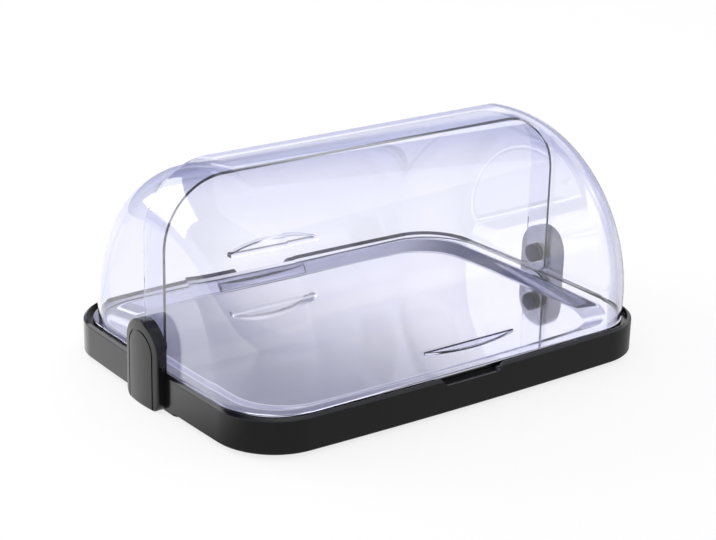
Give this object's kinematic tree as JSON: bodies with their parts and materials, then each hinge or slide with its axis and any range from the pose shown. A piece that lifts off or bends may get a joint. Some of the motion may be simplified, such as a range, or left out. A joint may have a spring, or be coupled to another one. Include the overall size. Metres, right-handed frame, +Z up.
{
  "type": "roll-top food display",
  "caption": "Countertop food display: black moulded base, polished steel tray, nested clear roll-top covers on side brackets.",
  "frame": {"origin": "on the table, at the middle of the base, under the middle of the four feet", "axes": "+X along the long side towards the right end seen from the front, +Y to the rear, +Z up"},
  "size_m": [0.458, 0.322, 0.2045],
  "materials": {
    "base_plastic": "satin moulded",
    "bracket_plastic": "semi-gloss moulded",
    "foot_rubber": "matte",
    "tray_steel": "polished sheet",
    "cover_plastic": "clear, lilac tint, gloss",
    "pack_shell": "blow moulded",
    "pack_closure": "ribbed",
    "pin_metal": "black oxide",
    "washer_nylon": "natural nylon",
    "steel_fixings": "plain steel"
  },
  "bodies": {
    "base": {"base_shell": "base_plastic", "foot_front_left": "foot_rubber", "foot_front_right": "foot_rubber", "foot_rear_left": "foot_rubber", "foot_rear_right": "foot_rubber", "tray": "tray_steel", "thermal_pack_left": "pack_shell", "thermal_pack_right": "pack_shell", "pack_cap_left": "pack_closure", "pack_cap_right": "pack_closure", "bracket_body_left": "bracket_plastic", "bracket_body_right": "bracket_plastic", "bracket_cap_left": "bracket_plastic", "bracket_cap_right": "bracket_plastic", "pivot_pin_left": "pin_metal", "pivot_pin_right": "pin_metal", "head_washer_left": "washer_nylon", "head_washer_right": "washer_nylon", "middle_washer_left": "washer_nylon", "middle_washer_right": "washer_nylon", "pivot_spacer_left": "washer_nylon", "pivot_spacer_right": "washer_nylon", "pivot_nut_left": "steel_fixings", "pivot_nut_right": "steel_fixings", "bracket_screws_left": "steel_fixings", "bracket_screws_right": "steel_fixings"},
    "front_cover": {"front_cover": "cover_plastic"},
    "rear_cover": {"rear_cover": "cover_plastic"}
  },
  "joints": [
    {"name": "front_cover_hinge", "type": "hinge", "parent": "base", "child": "front_cover", "pos_m": [0, 0, 0.0515], "axis": [-1, 0, 0], "range_deg": [0, 90]},
    {"name": "rear_cover_hinge", "type": "hinge", "parent": "base", "child": "rear_cover", "pos_m": [0, 0, 0.0515], "axis": [1, 0, 0], "range_deg": [0, 90]}
  ]
}
